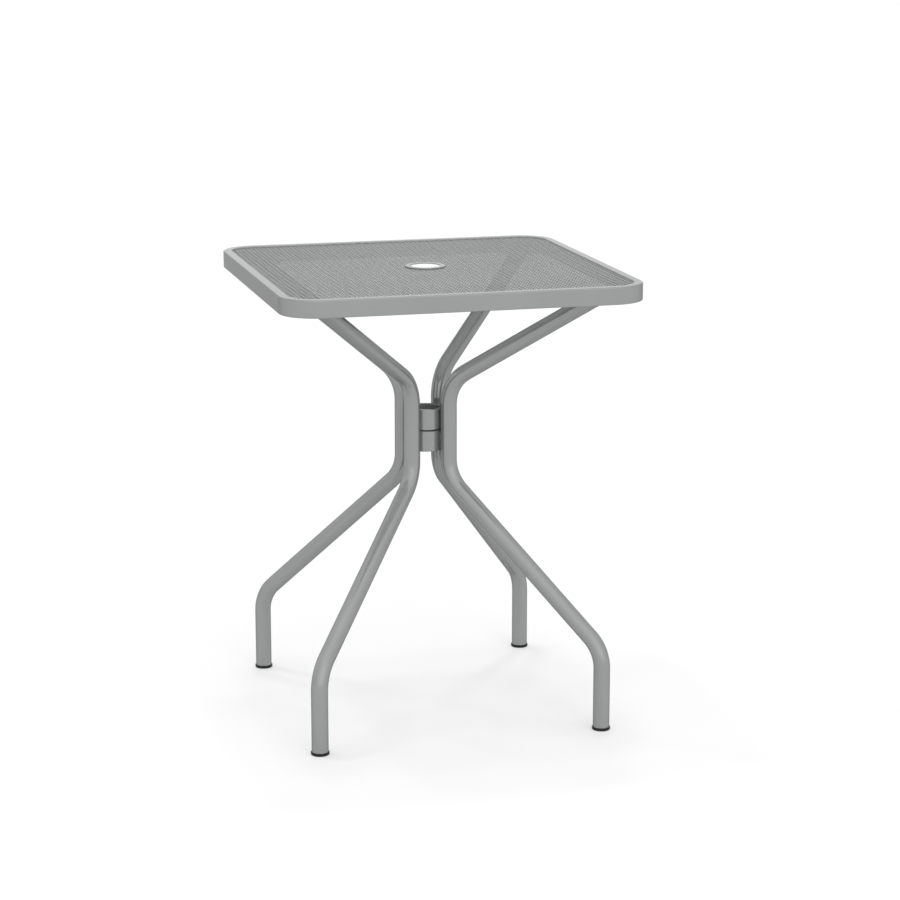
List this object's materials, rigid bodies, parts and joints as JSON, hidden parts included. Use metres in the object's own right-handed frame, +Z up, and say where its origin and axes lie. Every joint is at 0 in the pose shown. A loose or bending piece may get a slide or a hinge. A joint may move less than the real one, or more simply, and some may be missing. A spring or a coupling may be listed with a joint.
{
  "type": "square garden table",
  "caption": "Square steel garden table with a mesh top in a tube frame, bent tube legs that meet round a parasol hub, and plastic foot caps.",
  "frame": {"origin": "on the floor, under the axis of the parasol hub", "axes": "+Z up along the hub, +X along the front edge to the right, +Y to the back"},
  "size_m": [0.6, 0.6, 0.761],
  "materials": {
    "grey_powder_coat": "semi-gloss grey powder coat with a fine texture",
    "black_plastic": "matte moulded polypropylene",
    "zinc_steel": "bright zinc plate"
  },
  "bodies": {
    "root": {"corner_plate_back_left": "grey_powder_coat", "corner_plate_back_right": "grey_powder_coat", "corner_plate_front_left": "grey_powder_coat", "corner_plate_front_right": "grey_powder_coat", "head_plate_back_left": "grey_powder_coat", "head_plate_back_right": "grey_powder_coat", "head_plate_front_left": "grey_powder_coat", "head_plate_front_right": "grey_powder_coat", "head_plate_welds": "grey_powder_coat", "leg_back_left": "grey_powder_coat", "leg_back_right": "grey_powder_coat", "leg_front_left": "grey_powder_coat", "leg_front_right": "grey_powder_coat", "lower_sleeve": "grey_powder_coat", "lower_sleeve_welds": "grey_powder_coat", "mesh_panel": "grey_powder_coat", "mesh_tack_welds": "grey_powder_coat", "parasol_ring": "grey_powder_coat", "top_frame": "grey_powder_coat", "upper_sleeve": "grey_powder_coat", "upper_sleeve_welds": "grey_powder_coat", "foot_cap_back_left": "black_plastic", "foot_cap_back_right": "black_plastic", "foot_cap_front_left": "black_plastic", "foot_cap_front_right": "black_plastic", "arm_bolts": "zinc_steel", "arm_nuts": "zinc_steel", "arm_washers": "zinc_steel"}
  },
  "joints": []
}
